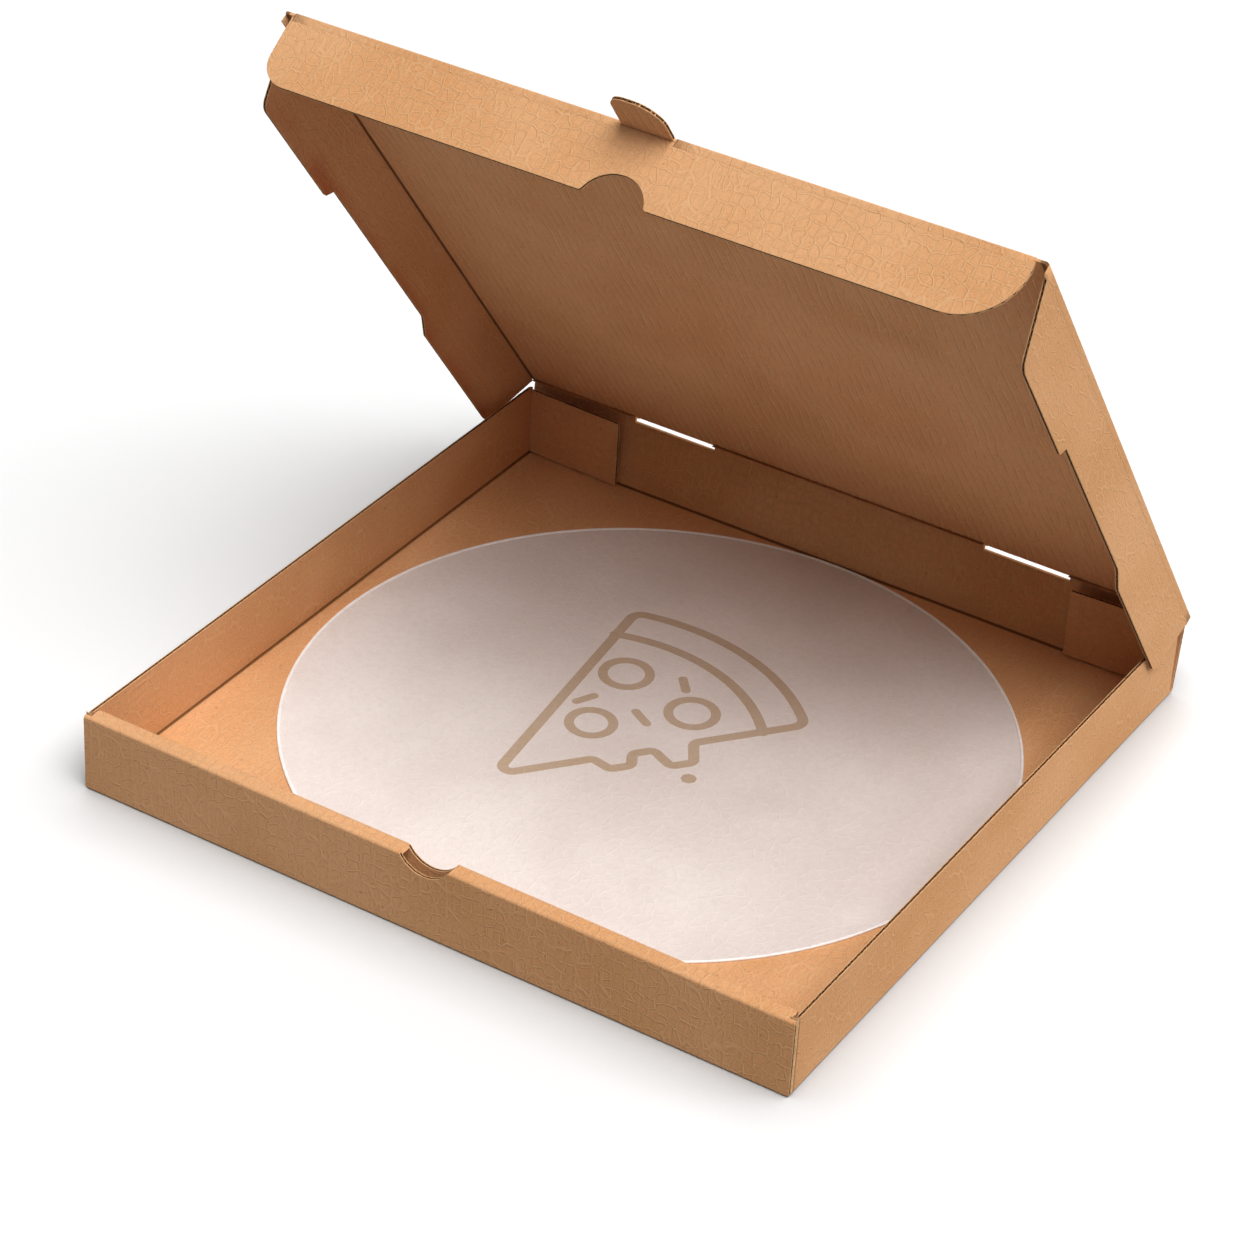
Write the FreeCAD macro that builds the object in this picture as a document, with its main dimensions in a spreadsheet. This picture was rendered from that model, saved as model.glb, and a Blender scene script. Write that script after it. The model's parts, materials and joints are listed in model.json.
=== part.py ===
import FreeCAD, Part
import os
import re
import Sketcher

# Die-cut corrugated pizza box, 16 inch class, with its lid standing open.
# +X is the box's right, +Y its hinge side, +Z up. The origin is the centre of the underside.

DRIVING = [
    ("board", 2.0, "thickness of the corrugated board"),
    ("tray_width", 424.0, "across the outsides of the side walls"),
    ("tray_depth", 420.0, "front face to back fold"),
    ("wall_height", 46.0, "table to the top of the walls"),
    ("back_lean", 6.5, "degrees the back wall leans out"),
    ("band", 10.0, "flat top of the rolled-over front wall, both layers"),
    ("band_slant", 1.6, "how far the band's ends slope in towards the floor side"),
    ("seam", 0.3, "gap between layers of board that lie on each other"),
    ("fold_radius", 1.6, "outside of a folded edge"),
    ("corner_radius", 3.4, "outside of the side walls' front folds"),
    ("tuck_length", 62.0, "front corner flaps held in the rolled-over front wall"),
    ("notch_width", 30.0, "finger notch in the front wall"),
    ("notch_drop", 9.0, "finger notch, depth"),
    ("corner_hole", 1.1, "radius of the relief hole where three panels meet"),
    ("rear_flap_length", 62.0, "rear corner flaps along the back wall"),
    ("rear_flap_clear", 1.2, "rear corner flaps, clear of the floor and of the lid"),
    ("rear_flap_stand", 2.5, "degrees the rear corner flaps stand off the back wall"),
    ("slit_start", 70.0, "hinge slits, from the box's side"),
    ("slit_length", 54.0, "hinge slits, length"),
    ("slit_drop", 3.4, "hinge slits, below the hinge axis"),
    ("fold_gap", 0.5, "clearance round the rounded edge that a panel turns about"),
    ("lid_angle", 53.0, "degrees the lid stands open"),
    ("lid_side_gap", 0.8, "lid's side flaps to the tray's side walls"),
    ("lid_front_gap", 3.0, "lid's front flap to the rolled-over front wall when closed"),
    ("tab_width", 29.0, "pull tab"),
    ("tab_length", 27.0, "pull tab, beyond the fold"),
    ("tab_left", 9.0, "pull tab, corner radius at the left"),
    ("tab_right", 15.0, "pull tab, corner radius at the right"),
    ("front_flap_depth", 38.0, "lid's front flap"),
    ("front_flap_inset", 0.8, "lid's front flap, short of the tray's side walls"),
    ("front_flap_left", 15.0, "lid's front flap, corner radius at the left end"),
    ("front_flap_right", 33.0, "lid's front flap, corner radius at the right end"),
    ("thumb_width", 36.0, "thumb notch in the front flap's free edge"),
    ("thumb_depth", 14.0, "thumb notch, depth"),
    ("lip_radius", 3.0, "rounded lips of the thumb notch"),
    ("side_flap_depth", 40.5, "lid's side flaps"),
    ("side_flap_splay", 8.0, "degrees the left side flap hangs outward"),
    ("flap_rear_slope", 17.0, "side flap's rear edge runs forward by this"),
    ("flap_front_slope", 26.0, "side flap's front edge runs back by this"),
    ("flap_front_start", 6.0, "side flap starts this far behind the lid's front corner"),
    ("recess_depth", 5.5, "shallow recess in the side flap's free edge"),
    ("recess_rear", 140.0, "recess, from the hinge"),
    ("recess_ramp", 14.0, "recess, sloping rear end"),
    ("recess_front", 284.0, "recess, from the hinge to its stepped front end"),
    ("recess_step", 4.0, "recess, run of the stepped front end"),
    ("rear_corner_radius", 5.0, "side flap's rear corner"),
    ("shoulder_radius", 10.0, "side flap's front shoulder"),
    ("ramp_radius", 6.0, "soft ends of the recess's slope"),
    ("flute_width", 1.1, "open end of a flute, across the board"),
    ("flute_depth", 1.4, "open end of a flute, into the cut edge"),
    ("flute_dash", 3.6, "open end of a flute, along an edge cut across the flutes"),
    ("flute_pitch", 6.2, "flute to flute"),
    ("slant_dash", 13.0, "open flute along an edge cut nearly along the flutes"),
    ("slant_pitch", 17.0, "such openings, one to the next"),
    ("edge_margin", 4.0, "cut edge left closed at a corner"),
    ("liner_radius", 200.0, "round liner on the floor"),
    ("liner_thickness", 0.8, "round liner"),
    ("liner_back", 6.5, "round liner's centre, behind the tray's"),
]

DERIVED = [
    ("half_width", "=tray_width / 2"),
    ("half_depth", "=tray_depth / 2"),
    ("skin", "=board / 2"),
    ("hinge_z", "=wall_height + seam + board / 2"),
    ("hinge_y", "=half_depth + hinge_z * tan(back_lean * 1 deg) - skin / cos(back_lean * 1 deg)"),
    ("floor_back", "=half_depth + board * tan(back_lean * 1 deg) - board / cos(back_lean * 1 deg)"),
    ("lid_half", "=half_width + lid_side_gap + skin"),
    ("lid_reach", "=hinge_y + half_depth - band - skin - lid_front_gap"),
    ("notch_radius", "=(notch_width ^ 2 / 4 + notch_drop ^ 2) / (2 * notch_drop)"),
    ("thumb_radius", "=(thumb_width ^ 2 / 4 + thumb_depth ^ 2) / (2 * thumb_depth)"),
    ("pivot_x", "=half_width - board - seam"),
    ("rear_flap_front", "=floor_back - seam - board"),
    ("pivot_y", "=rear_flap_front - seam"),
]

OVERCUT = 1.0  # how far a cutting sketch runs past the face it cuts

doc = FreeCAD.newDocument("pizza_box")
sheet = doc.addObject("Spreadsheet::Sheet", "Sizes")
for row, (name, size, note) in enumerate(DRIVING, start=1):
    sheet.set(f"A{row}", name)
    sheet.set(f"B{row}", str(size))
    sheet.set(f"C{row}", note)
    sheet.setAlias(f"B{row}", name)
doc.recompute()
for row, (name, formula) in enumerate(DERIVED, start=len(DRIVING) + 1):
    sheet.set(f"A{row}", name)
    sheet.set(f"B{row}", formula)
    sheet.setAlias(f"B{row}", name)
    doc.recompute()

NAMES = [entry[0] for entry in DRIVING + DERIVED]
WORD = re.compile(r"\b(" + "|".join(NAMES) + r")\b")


def bind(text):
    """Turn the short names in an expression into references to the spreadsheet."""
    return WORD.sub(r"Sizes.\1", text)


def value(text):
    """Number that an expression gives at the present sizes."""
    found = sheet.evalExpression(bind(text))
    return float(getattr(found, "Value", found))


def new_body(name):
    body = doc.addObject("PartDesign::Body", name)
    body.Label = name
    return body


def new_sketch(body, plane, name, lift="0"):
    sketch = body.newObject("Sketcher::SketchObject", name)
    origin = [entry for entry in body.Origin.OriginFeatures if entry.Role == plane][0]
    sketch.AttachmentSupport = [(origin, "")]
    sketch.MapMode = "FlatFace"
    sketch.setExpression("AttachmentOffset.Base.z", bind(lift))
    return sketch


def pin(sketch, element, point, across, up):
    """Fix one point of a sketch at two bound distances from its origin."""
    for kind, text in (("DistanceX", across), ("DistanceY", up)):
        rule = Sketcher.Constraint(kind, -1, 1, element, point, value(text))
        index = sketch.addConstraint(rule)
        sketch.setExpression(f"Constraints[{index}]", bind(text))


def add_polygon(sketch, corners):
    """Closed outline through corners, each a pair of expressions."""
    points = [FreeCAD.Vector(value(across), value(up), 0) for across, up in corners]
    first = sketch.GeometryCount
    count = len(points)
    for index in range(count):
        sketch.addGeometry(Part.LineSegment(points[index], points[(index + 1) % count]), False)
    for index in range(count):
        follower = first + (index + 1) % count
        sketch.addConstraint(Sketcher.Constraint("Coincident", first + index, 2, follower, 1))
    for index, (across, up) in enumerate(corners):
        pin(sketch, first + index, 1, across, up)


def add_circle(sketch, across, up, radius):
    centre = FreeCAD.Vector(value(across), value(up), 0)
    element = sketch.addGeometry(Part.Circle(centre, FreeCAD.Vector(0, 0, 1), value(radius)), False)
    index = sketch.addConstraint(Sketcher.Constraint("Radius", element, value(radius)))
    sketch.setExpression(f"Constraints[{index}]", bind(radius))
    pin(sketch, element, 3, across, up)


def extrude(body, sketch, name, length, kind="Pad", symmetric=False, reverse=False):
    feature = body.newObject(f"PartDesign::{kind}", name)
    feature.Profile = sketch
    feature.SideType = "Symmetric" if symmetric else "One side"
    feature.Reversed = reverse
    feature.setExpression("Length", bind(length))
    before = body_volume(body, feature)
    doc.recompute()
    grown = feature.Shape.Volume - before
    if (kind == "Pad") != (grown > 0) or abs(grown) < 1e-6:
        raise RuntimeError(f"{body.Label}: {name} changed the volume by {grown:.3f}")
    return feature


def body_volume(body, feature):
    base = feature.BaseFeature
    return base.Shape.Volume if base else 0.0


def round_edges(body, name, radius, chosen):
    """Fillet each edge of the body's tip that the test picks by its two ends."""
    tip = body.Tip
    picked = []
    for index, edge in enumerate(tip.Shape.Edges, start=1):
        if len(edge.Vertexes) == 2 and chosen(edge.Vertexes[0].Point, edge.Vertexes[1].Point):
            picked.append(f"Edge{index}")
    if not picked:
        raise RuntimeError(f"{body.Label}: {name} found no edge")
    feature = body.newObject("PartDesign::Fillet", name)
    feature.Base = (tip, picked)
    feature.setExpression("Radius", bind(radius))
    doc.recompute()
    return feature


def flute_row(body, name, plane, lift, run, middle, start, span, slanted=False, reverse=False):
    """Row of open flute ends along a cut edge; run is the sketch axis that the edge follows."""
    dash = "slant_dash" if slanted else "flute_dash"
    pitch = "slant_pitch" if slanted else "flute_pitch"
    first = new_sketch(body, plane, f"{name}_end", lift=lift)
    sides = (f"{middle} - flute_width / 2", f"{middle} + flute_width / 2")
    ends = (start, f"{start} + {dash}")
    if run == "H_Axis":
        corners = [(ends[0], sides[0]), (ends[1], sides[0]), (ends[1], sides[1]), (ends[0], sides[1])]
    else:
        corners = [(sides[0], ends[0]), (sides[1], ends[0]), (sides[1], ends[1]), (sides[0], ends[1])]
    add_polygon(first, corners)
    opening = extrude(body, first, f"{name}_opening", "flute_depth", kind="Pocket", reverse=reverse)
    row = body.newObject("PartDesign::LinearPattern", f"{name}_row")
    row.Originals = [opening]
    row.Direction = (first, [run])
    row.Mode = "Spacing"
    row.setExpression("Offset", bind(pitch))
    row.setExpression("Occurrences", bind(f"max(2; floor(({span}) / {pitch}))"))
    body.Tip = row
    doc.recompute()
    return row


def near(number, target):
    return abs(number - target) < 1e-4


def along(axis, **fixed):
    """Test for a straight edge along one axis whose other coordinates are given expressions."""
    place = {"x": 0, "y": 1, "z": 2}

    def chosen(start, end):
        for letter, text in fixed.items():
            target = value(text)
            if not (near(start[place[letter]], target) and near(end[place[letter]], target)):
                return False
        return abs(start[place[axis]] - end[place[axis]]) > 1.0

    return chosen


def mirrored(corners, sign):
    return [(f"{sign} * ({across})", up) for across, up in corners]


# The tray: floor, leaning back wall and rolled-over front wall share one folded section.
tray = new_body("tray")
section = new_sketch(tray, "YZ_Plane", "tray_section")
add_polygon(section, [
    ("-half_depth", "0"),
    ("half_depth", "0"),
    ("hinge_y + skin * cos(back_lean * 1 deg)", "hinge_z - skin * sin(back_lean * 1 deg)"),
    ("hinge_y - skin * cos(back_lean * 1 deg)", "hinge_z + skin * sin(back_lean * 1 deg)"),
    ("floor_back", "board"),
    ("-half_depth + band", "board"),
    ("-half_depth + band", "wall_height"),
    ("-half_depth", "wall_height"),
])
extrude(tray, section, "tray_strip", "tray_width", symmetric=True)

# The two layers of the front wall are hollow between, and the inner one only rests on the floor.
hollow = new_sketch(tray, "YZ_Plane", "front_hollow")
add_polygon(hollow, [
    ("-half_depth + board", "board"),
    (f"-half_depth + band + {OVERCUT}", "board"),
    (f"-half_depth + band + {OVERCUT}", "board + seam"),
    ("-half_depth + band - board", "board + seam"),
    ("-half_depth + band - board", "wall_height - board"),
    ("-half_depth + board", "wall_height - board"),
])
extrude(tray, hollow, "front_layers", f"tray_width + {OVERCUT}", kind="Pocket", symmetric=True)

ends = new_sketch(tray, "XY_Plane", "band_ends", lift="board")
for sign in (1, -1):
    add_polygon(ends, mirrored([
        (f"half_width + {OVERCUT}", "-half_depth + board"),
        (f"half_width + {OVERCUT}", f"-half_depth + band + {OVERCUT}"),
        ("half_width - board - seam - band_slant", f"-half_depth + band + {OVERCUT}"),
        ("half_width - board - seam", "-half_depth + board"),
    ], sign))
extrude(tray, ends, "band_trim", "wall_height", kind="Pocket", reverse=True)

for face in ("-half_depth", "-half_depth + band"):
    round_edges(tray, "front_fold", "fold_radius", along("x", y=face, z="wall_height"))

# Side walls, from the front wall's outer layer back to the rear corner flaps.
sides = new_sketch(tray, "XY_Plane", "side_walls")
for sign in (1, -1):
    add_polygon(sides, mirrored([
        ("half_width - board", "-half_depth + board + seam"),
        ("half_width", "-half_depth + board + seam"),
        ("half_width", "rear_flap_front + board"),
        ("half_width - board", "rear_flap_front + board"),
    ], sign))
extrude(tray, sides, "side_wall_pair", "wall_height")

# Front corner flaps fold off the side walls and stay between the front wall's layers.
tucks = new_sketch(tray, "XY_Plane", "front_corner_flaps", lift="board + seam")
for sign in (1, -1):
    add_polygon(tucks, mirrored([
        ("half_width - tuck_length", "-half_depth + board + seam"),
        ("half_width", "-half_depth + board + seam"),
        ("half_width", "-half_depth + 2 * board + seam"),
        ("half_width - tuck_length", "-half_depth + 2 * board + seam"),
    ], sign))
extrude(tray, tucks, "front_corner_flap_pair", "wall_height - 2 * board - 2 * seam")

for side in ("half_width", "-half_width"):
    folds = (("-half_depth + board + seam", "corner_radius"), ("rear_flap_front + board", "fold_radius"))
    for end, radius in folds:
        round_edges(tray, "corner_fold", radius, along("z", x=side, y=end))


def bottom_fold(start, end):
    flat = near(start.z, 0) and near(end.z, 0)
    return flat and (start - end).Length > 10.0


round_edges(tray, "floor_folds", "fold_radius", bottom_fold)

pivot_edge = new_sketch(tray, "YZ_Plane", "hinge_edge")
add_circle(pivot_edge, "hinge_y", "hinge_z", "skin")
extrude(tray, pivot_edge, "hinge_crease", "tray_width", symmetric=True)

slits = new_sketch(tray, "XY_Plane", "hinge_slits", lift="hinge_z - slit_drop")
for sign in (1, -1):
    add_polygon(slits, mirrored([
        ("half_width - slit_start", "hinge_y - 2 * board"),
        ("half_width - slit_start", "hinge_y + 2 * board"),
        ("half_width - slit_start - slit_length", "hinge_y + 2 * board"),
        ("half_width - slit_start - slit_length", "hinge_y - 2 * board"),
    ], sign))
extrude(tray, slits, "hinge_slit_pair", "slit_drop + 2 * board", kind="Pocket", reverse=True)

notch = new_sketch(tray, "XZ_Plane", "finger_notch", lift=f"half_depth + {OVERCUT}")
add_circle(notch, "0", "wall_height - notch_drop + notch_radius", "notch_radius")
extrude(tray, notch, "finger_notch_cut", f"band + {2 * OVERCUT}", kind="Pocket")

holes = new_sketch(tray, "XY_Plane", "corner_holes")
for sign in (1, -1):
    add_circle(holes, f"{sign} * (half_width - board - corner_hole - seam)",
               "floor_back - corner_hole - seam", "corner_hole")
extrude(tray, holes, "corner_hole_pair", "board", kind="Pocket", reverse=True)


# The cut edges show the flutes: a groove along the side walls' tops, open ends on the front wall.
grooves = new_sketch(tray, "XY_Plane", "side_wall_grooves", lift="wall_height")
for sign in (1, -1):
    add_polygon(grooves, mirrored([
        ("half_width - skin - flute_width / 2", "-half_depth + board + seam + edge_margin"),
        ("half_width - skin + flute_width / 2", "-half_depth + board + seam + edge_margin"),
        ("half_width - skin + flute_width / 2", "rear_flap_front + board - edge_margin"),
        ("half_width - skin - flute_width / 2", "rear_flap_front + board - edge_margin"),
    ], sign))
extrude(tray, grooves, "side_wall_groove_pair", "flute_depth", kind="Pocket")
for name, side, reverse in (("right", "half_width", False), ("left", "-half_width", True)):
    flute_row(tray, f"front_wall_{name}", "YZ_Plane", side, "V_Axis", "-half_depth + skin",
              "edge_margin", "wall_height - 2 * edge_margin", reverse=reverse)


# Rear corner flaps turn about the inner corner of the side wall's rear fold.
def rear_flap(name, sign):
    body = new_body(name)
    outline = new_sketch(body, "XZ_Plane", f"{name}_outline", lift="-seam - skin")
    add_polygon(outline, mirrored([
        ("0", "board + rear_flap_clear"),
        ("rear_flap_length", "board + rear_flap_clear"),
        ("rear_flap_length", "wall_height - rear_flap_clear"),
        ("0", "wall_height - rear_flap_clear"),
    ], -sign))
    extrude(body, outline, f"{name}_panel", "board", symmetric=True)
    body.setExpression("Placement.Base.x", bind(f"{sign} * pivot_x"))
    body.setExpression("Placement.Base.y", bind("pivot_y"))
    body.Placement.Rotation = FreeCAD.Rotation(FreeCAD.Vector(0, 0, 1), 1)
    body.setExpression("Placement.Rotation.Angle", bind(f"{sign} * rear_flap_stand"))
    return body


rear_right = rear_flap("rear_right_flap", 1)
rear_left = rear_flap("rear_left_flap", -1)


# Everything on the lid is drawn lying flat over the tray, then turned up about the hinge.
def stand_open(body, place=("0", "0", "0"), splay="0"):
    turned = "placement(vector(0; hinge_y; hinge_z); rotation(vector(1; 0; 0); -lid_angle))"
    local = f"placement(vector({'; '.join(place)}); rotation(vector(0; 1; 0); {splay}))"
    body.setExpression("Placement", bind(f"{turned} * {local}"))


lid = new_body("lid")
panel = new_sketch(lid, "XY_Plane", "lid_outline")
add_polygon(panel, [
    ("-lid_half", "-skin - fold_gap"),
    ("lid_half", "-skin - fold_gap"),
    ("lid_half", "-lid_reach - skin"),
    ("-lid_half", "-lid_reach - skin"),
])
extrude(lid, panel, "lid_panel", "board", symmetric=True)
round_edges(lid, "lid_front_fold", "fold_radius", along("x", y="-lid_reach - skin", z="skin"))

edges = new_sketch(lid, "XZ_Plane", "lid_side_creases", lift="skin + fold_gap")
for sign in (1, -1):
    add_circle(edges, f"{sign} * lid_half", "0", "skin")
extrude(lid, edges, "lid_side_crease_pair", "lid_reach - fold_gap - board")

TAB_TIP = "-lid_reach - skin - tab_length"
tab = new_sketch(lid, "XY_Plane", "pull_tab_outline")
add_polygon(tab, [
    ("-tab_width / 2", "-lid_reach"),
    ("tab_width / 2", "-lid_reach"),
    ("tab_width / 2", TAB_TIP),
    ("-tab_width / 2", TAB_TIP),
])
extrude(lid, tab, "pull_tab", "board", symmetric=True)
for name, side in (("left", "-tab_width / 2"), ("right", "tab_width / 2")):
    round_edges(lid, f"pull_tab_{name}_corner", f"tab_{name}", along("z", x=side, y=TAB_TIP))
stand_open(lid)

# The front flap turns inward about the inner corner of its fold.
front_flap = new_body("lid_front_flap")
face = new_sketch(front_flap, "XZ_Plane", "front_flap_outline", lift="skin + seam")
HALF_FLAP = "half_width - board - front_flap_inset"
add_polygon(face, [
    (f"-({HALF_FLAP})", "0"),
    (HALF_FLAP, "0"),
    (HALF_FLAP, "-front_flap_depth"),
    (f"-({HALF_FLAP})", "-front_flap_depth"),
])
extrude(front_flap, face, "front_flap_panel", "board", symmetric=True)
for name, side in (("left", f"-({HALF_FLAP})"), ("right", HALF_FLAP)):
    corner = along("y", x=side, z="-front_flap_depth")
    round_edges(front_flap, f"front_flap_{name}_end", f"front_flap_{name}", corner)
thumb = new_sketch(front_flap, "XZ_Plane", "thumb_notch", lift="skin + seam")
add_circle(thumb, "0", "-front_flap_depth + thumb_depth - thumb_radius", "thumb_radius")
extrude(front_flap, thumb, "thumb_notch_cut", "2 * board", kind="Pocket", symmetric=True)


def thumb_lip(start, end):
    low = value("-front_flap_depth")
    across = value("thumb_width")
    return near(start.z, low) and near(end.z, low) and near(start.x, end.x) and abs(start.x) < across


round_edges(front_flap, "thumb_notch_lips", "lip_radius", thumb_lip)
LIP = "thumb_width / 2 + lip_radius + edge_margin"
rows = (
    ("left", f"-({HALF_FLAP}) + front_flap_left", f"{HALF_FLAP} - front_flap_left - ({LIP})"),
    ("right", LIP, f"{HALF_FLAP} - front_flap_right - ({LIP})"),
)
for name, start, span in rows:
    flute_row(front_flap, f"front_flap_{name}", "XY_Plane", "-front_flap_depth", "H_Axis", "-skin - seam",
              start, span, reverse=True)
stand_open(front_flap, ("0", "-lid_reach + skin + seam", "-skin - seam"))


# Side flaps turn outward about the rounded edge of the lid.
def side_flap(name, sign, splay):
    body = new_body(name)
    outline = new_sketch(body, "YZ_Plane", f"{name}_outline")
    shallow = "-side_flap_depth + recess_depth"
    deep = "-side_flap_depth"
    shoulder = "-lid_reach + flap_front_start + flap_front_slope"
    top = "-skin - fold_gap"
    add_polygon(outline, [
        ("-skin - fold_gap", top),
        ("-flap_rear_slope", deep),
        ("-recess_rear + recess_ramp", deep),
        ("-recess_rear", shallow),
        ("-recess_front", shallow),
        ("-recess_front - recess_step", deep),
        (shoulder, deep),
        ("-lid_reach + flap_front_start", top),
    ])
    extrude(body, outline, f"{name}_panel", "board", symmetric=True)
    rounded = [
        ("rear_corner", "rear_corner_radius", "-flap_rear_slope", deep),
        ("shoulder", "shoulder_radius", shoulder, deep),
        ("ramp_foot", "ramp_radius", "-recess_rear + recess_ramp", deep),
        ("ramp_head", "ramp_radius", "-recess_rear", shallow),
    ]
    for label, radius, forward, down in rounded:
        round_edges(body, f"{name}_{label}", radius, along("x", y=forward, z=down))
    straights = [
        ("rear", deep, "-recess_rear + recess_ramp + edge_margin",
         "recess_rear - recess_ramp - flap_rear_slope - rear_corner_radius - 2 * edge_margin"),
        ("recess", shallow, "-recess_front + edge_margin", "recess_front - recess_rear - 2 * edge_margin"),
        ("front", deep, f"{shoulder} + shoulder_radius",
         f"-({shoulder}) - shoulder_radius - recess_front - recess_step - edge_margin"),
    ]
    for label, level, start, span in straights:
        flute_row(body, f"{name}_{label}", "XY_Plane", level, "V_Axis", "0", start, span,
                  slanted=True, reverse=True)
    stand_open(body, (f"{sign} * lid_half", "0", "0"), splay)
    return body


right_flap = side_flap("lid_right_flap", 1, "0")
left_flap = side_flap("lid_left_flap", -1, "side_flap_splay")

# A thin round liner lies loose on the floor.
liner = new_body("liner_disc")
round_outline = new_sketch(liner, "XY_Plane", "liner_outline")
add_circle(round_outline, "0", "0", "liner_radius")
extrude(liner, round_outline, "liner_sheet", "liner_thickness")
liner.setExpression("Placement", bind("placement(vector(0; liner_back; board); rotation(vector(0; 0; 1); 0))"))

doc.recompute()
pieces = [tray, rear_left, rear_right, lid, front_flap, left_flap, right_flap, liner]
for item in doc.Objects:
    if "Invalid" in item.State or "Error" in item.State:
        raise RuntimeError(f"{item.Label} did not recompute: {item.State}")

os.makedirs("parts", exist_ok=True)
for piece in pieces:
    if piece.Shape.isNull() or not piece.Shape.isValid() or len(piece.Shape.Solids) != 1:
        raise RuntimeError(f"{piece.Label} is not one valid solid")
    piece.Shape.exportStep(f"parts/{piece.Label}.step")
    box = piece.Shape.BoundBox
    print(f"{piece.Label}: {piece.Shape.Volume:.0f} mm3, x {box.XMin:.1f} {box.XMax:.1f}, "
          f"y {box.YMin:.1f} {box.YMax:.1f}, z {box.ZMin:.1f} {box.ZMax:.1f}")
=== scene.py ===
import json
import math

import bmesh
import bpy
from mathutils import Matrix, Vector


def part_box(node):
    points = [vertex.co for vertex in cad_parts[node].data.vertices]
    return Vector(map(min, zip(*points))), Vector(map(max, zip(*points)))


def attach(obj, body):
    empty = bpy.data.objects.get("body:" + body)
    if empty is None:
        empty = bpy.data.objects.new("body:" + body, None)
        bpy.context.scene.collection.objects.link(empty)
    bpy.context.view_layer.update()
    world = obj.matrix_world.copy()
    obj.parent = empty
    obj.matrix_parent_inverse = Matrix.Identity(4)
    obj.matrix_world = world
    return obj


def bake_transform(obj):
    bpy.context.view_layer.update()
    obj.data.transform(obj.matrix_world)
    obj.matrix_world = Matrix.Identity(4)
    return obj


# A kraft corrugated pizza box with its lid standing open, and a greaseproof liner on its floor.
# Lengths below are written in millimetres, as a carton maker would, and turned to metres by MM.
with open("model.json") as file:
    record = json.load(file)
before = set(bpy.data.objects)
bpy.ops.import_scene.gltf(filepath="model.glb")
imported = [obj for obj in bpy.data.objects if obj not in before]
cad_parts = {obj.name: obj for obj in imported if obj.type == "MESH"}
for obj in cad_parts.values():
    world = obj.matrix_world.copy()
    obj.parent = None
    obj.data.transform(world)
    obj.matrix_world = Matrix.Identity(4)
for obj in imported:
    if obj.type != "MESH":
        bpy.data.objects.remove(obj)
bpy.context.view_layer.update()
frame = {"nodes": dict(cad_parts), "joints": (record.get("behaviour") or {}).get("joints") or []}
MM = 0.001

BOARD = 2.0
SKIN = BOARD / 2
SEAM = 0.3
TRAY_HALF_WIDTH = 212.0
TRAY_HALF_DEPTH = 210.0
WALL_HEIGHT = 46.0
BAND = 10.0
NOTCH_WIDTH, NOTCH_DROP = 30.0, 9.0
LID_HALF = 213.8
LID_REACH = 410.383
HINGE_SLITS = (88.0, 142.0)
TAB_WIDTH, TAB_LENGTH, TAB_LEFT, TAB_RIGHT = 29.0, 27.0, 9.0, 15.0
FRONT_FLAP_HALF, FRONT_FLAP_DEPTH = 209.2, 38.0
FRONT_FLAP_LEFT, FRONT_FLAP_RIGHT = 15.0, 33.0
THUMB_WIDTH, THUMB_DEPTH, LIP_RADIUS = 36.0, 14.0, 3.0
SIDE_FLAP_DEPTH, RECESS_DEPTH = 40.5, 5.5
RECESS_REAR, RECESS_RAMP, RECESS_FRONT, RECESS_STEP = 140.0, 14.0, 284.0, 4.0
LINER_RADIUS, LINER_THICKNESS, LINER_BACK = 200.0, 0.8, 6.5
FLUTE_PITCH = 6.2
RIDGE_PITCH = 5.4
BACK_LEAN = 6.5
# width and soft edge of the painted shade line at the foot of the tray's walls
CREASE_SHADE_WIDTH, CREASE_SHADE_EDGE = 1.6, 0.8
FLAP_LENGTH, FLAP_GAP, FLAP_STAND = 62.0, 1.2, 2.5

joints = {entry["name"]: entry for entry in frame["joints"]}
hinge = Vector(joints["lid_hinge"]["pos_m"])
lid_angle = -math.radians(joints["lid_hinge"]["range_deg"][0])
splay = -math.radians(joints["lid_left_fold"]["range_deg"][0])


# ---- where the panels are ----
def axes(origin, across, along):
    """Matrix whose XY plane is a panel's middle plane; its Z is the board's thickness."""
    across, along = Vector(across), Vector(along)
    normal = across.cross(along)
    turn = Matrix((across, along, normal)).transposed().to_4x4()
    return Matrix.Translation(Vector(origin) * MM) @ turn


LID = Matrix.Translation(hinge) @ Matrix.Rotation(-lid_angle, 4, "X")
LID_PANEL = LID @ axes((0, 0, 0), (1, 0, 0), (0, -1, 0))
FRONT_FLAP = LID @ axes((0, -LID_REACH, -SKIN - SEAM), (1, 0, 0), (0, 0, -1))
RIGHT_FLAP = LID @ axes((LID_HALF, 0, 0), (0, 0, -1), (0, -1, 0))
LEFT_TURN = Matrix.Translation((-LID_HALF * MM, 0, 0)) @ Matrix.Rotation(splay, 4, "Y")
LEFT_FLAP = LID @ LEFT_TURN @ axes((0, 0, 0), (0, 0, -1), (0, -1, 0))


# ---- materials ----
def hex_linear(text):
    """Scene colour of an sRGB hex value."""
    parts = [int(text[i:i + 2], 16) / 255 for i in (1, 3, 5)]
    return [c / 12.92 if c <= 0.04045 else ((c + 0.055) / 1.055) ** 2.4 for c in parts] + [1.0]


def add(tree, kind, inputs=None, **settings):
    """Add a node with its settings, links and values."""
    node = tree.nodes.new(kind)
    for name, item in settings.items():
        setattr(node, name, item)
    for name, item in (inputs or {}).items():
        if isinstance(item, bpy.types.NodeSocket):
            tree.links.new(item, node.inputs[name])
        else:
            node.inputs[name].default_value = item
    return node


def new_material(name):
    material = bpy.data.materials.new(name)
    material.use_nodes = True
    tree = material.node_tree
    tree.nodes.clear()
    return material, tree


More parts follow.
